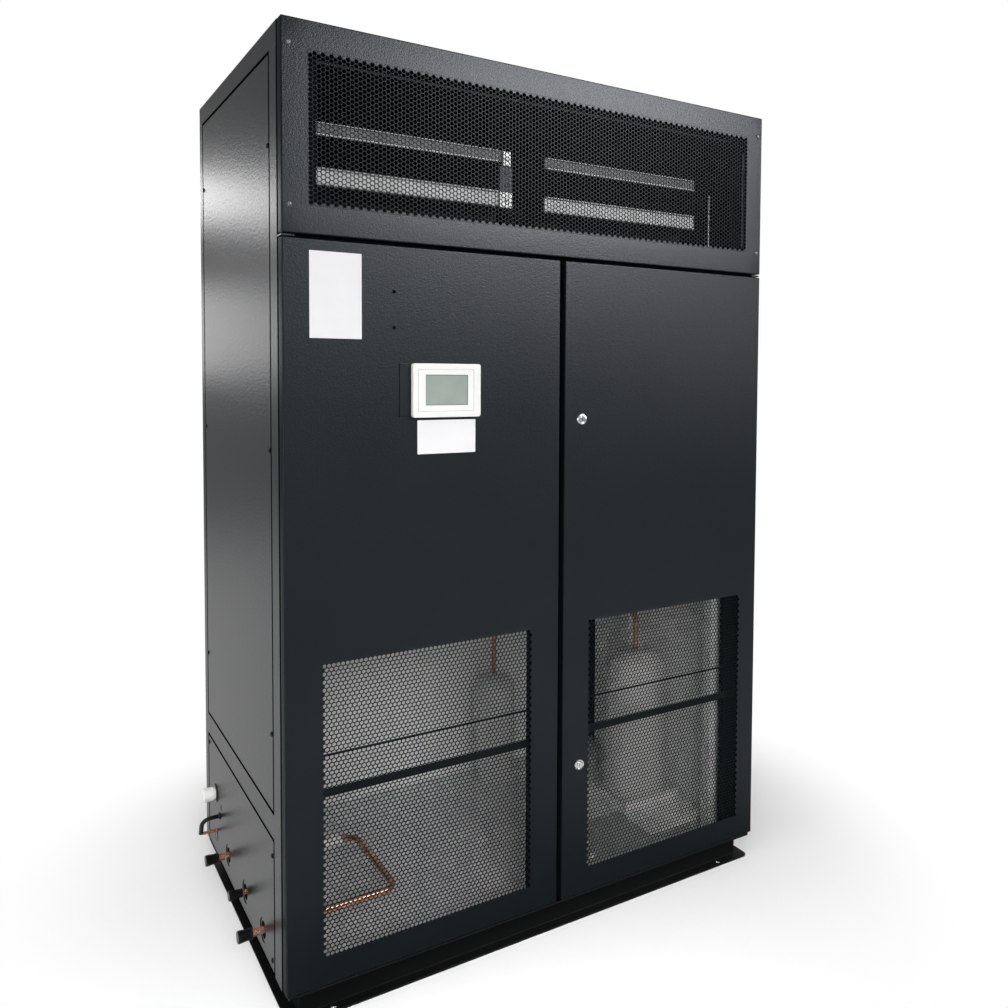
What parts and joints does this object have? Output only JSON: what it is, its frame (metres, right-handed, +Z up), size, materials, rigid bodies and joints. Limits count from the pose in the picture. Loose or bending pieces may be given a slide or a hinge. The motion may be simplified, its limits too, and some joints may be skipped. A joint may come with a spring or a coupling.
{
  "type": "precision air conditioner",
  "caption": "Floor-standing server-room air conditioner: dark steel cabinet with perforated swing doors, a perforated outlet above with blowers behind, a touch controller and side pipe stubs.",
  "frame": {"origin": "on the floor, under the middle of the cabinet's 1200 by 800 mm outline, at the centre of the four anchor holes", "axes": "+Z up, -Y out of the doors, +X to the right of a person facing the doors; the pipe stubs stand out towards -X"},
  "size_m": [1.251, 0.813, 1.95],
  "materials": {
    "charcoal_powder_coat": "fine textured powder coat, semi-matt",
    "black_paint": "satin paint",
    "galvanised_sheet": "galvanised, spangled, satin",
    "coil_aluminium": "plain fins",
    "foil_insulation": "foil-faced foam, dull",
    "copper": "drawn copper, bright to lightly tarnished",
    "black_rubber": "matt",
    "white_plastic": "satin moulding",
    "screen": "unlit display, low gloss",
    "chrome": "polished",
    "filter_media": "pleated medium in a card frame",
    "grey_paint": "light grey, satin",
    "switchgear_plastic": "matt moulding"
  },
  "bodies": {
    "cabinet": {"air_filters": "filter_media", "base_frame": "black_paint", "blower_housing_left": "galvanised_sheet", "blower_housing_right": "galvanised_sheet", "center_post": "charcoal_powder_coat", "compressor": "grey_paint", "compressor_feet": "black_rubber", "cooling_coil": "coil_aluminium", "discharge_pipe": "copper", "drain_hose": "black_rubber", "drain_pan": "galvanised_sheet", "electric_heater": "galvanised_sheet", "equipment_shelf": "galvanised_sheet", "fan_deck": "galvanised_sheet", "fan_motor_left": "black_paint", "fan_motor_right": "black_paint", "floor_pan": "galvanised_sheet", "front_header": "charcoal_powder_coat", "front_post_left": "charcoal_powder_coat", "front_post_right": "charcoal_powder_coat", "front_sill": "charcoal_powder_coat", "humidifier": "white_plastic", "insulation_boards": "foil_insulation", "liquid_pipe": "copper", "liquid_receiver": "grey_paint", "lower_panel_left": "charcoal_powder_coat", "lower_panel_rear": "charcoal_powder_coat", "lower_panel_right": "charcoal_powder_coat", "lower_pivots": "galvanised_sheet", "outlet_panel": "charcoal_powder_coat", "panel_standoffs": "charcoal_powder_coat", "passage_rings": "black_rubber", "rear_post_left": "charcoal_powder_coat", "rear_post_right": "charcoal_powder_coat", "rear_rail": "charcoal_powder_coat", "side_rail_left": "charcoal_powder_coat", "side_rail_right": "charcoal_powder_coat", "stub_caps": "black_rubber", "suction_pipe": "copper", "switchgear_box": "grey_paint", "switchgear_units": "switchgear_plastic", "top_cover": "charcoal_powder_coat", "top_frame": "charcoal_powder_coat", "upper_panel_left": "charcoal_powder_coat", "upper_panel_rear": "charcoal_powder_coat", "upper_panel_right": "charcoal_powder_coat", "upper_pivots": "galvanised_sheet", "water_inlet": "white_plastic"},
    "left_door_leaf": {"left_door": "charcoal_powder_coat", "left_door_seal": "black_rubber", "controller_plate": "charcoal_powder_coat", "controller_housing": "white_plastic", "controller_screen": "screen"},
    "right_door_leaf": {"right_door": "charcoal_powder_coat", "right_door_seal": "black_rubber", "lock_barrels": "chrome"},
    "upper_lock": {"lock_plug_upper": "chrome"},
    "lower_lock": {"lock_plug_lower": "chrome"},
    "left_fan": {"blower_wheel_left": "galvanised_sheet"},
    "right_fan": {"blower_wheel_right": "galvanised_sheet"}
  },
  "joints": [
    {"name": "left_door_swing", "type": "hinge", "parent": "cabinet", "child": "left_door_leaf", "pos_m": [-0.588, -0.388, 0.8], "axis": [0, 0, -1], "range_deg": [0, 115]},
    {"name": "right_door_swing", "type": "hinge", "parent": "cabinet", "child": "right_door_leaf", "pos_m": [0.588, -0.388, 0.8], "axis": [0, 0, 1], "range_deg": [0, 115]},
    {"name": "upper_lock_turn", "type": "hinge", "parent": "right_door_leaf", "child": "upper_lock", "pos_m": [0.0605, -0.38, 1.183], "axis": [0, 1, 0], "range_deg": [0, 90]},
    {"name": "lower_lock_turn", "type": "hinge", "parent": "right_door_leaf", "child": "lower_lock", "pos_m": [0.0605, -0.38, 0.376], "axis": [0, 1, 0], "range_deg": [0, 90]},
    {"name": "left_fan_spin", "type": "hinge", "parent": "cabinet", "child": "left_fan", "pos_m": [-0.315, -0.17, 1.6215], "axis": [1, 0, 0], "continuous": true},
    {"name": "right_fan_spin", "type": "hinge", "parent": "cabinet", "child": "right_fan", "pos_m": [0.206, -0.17, 1.6215], "axis": [1, 0, 0], "continuous": true}
  ]
}
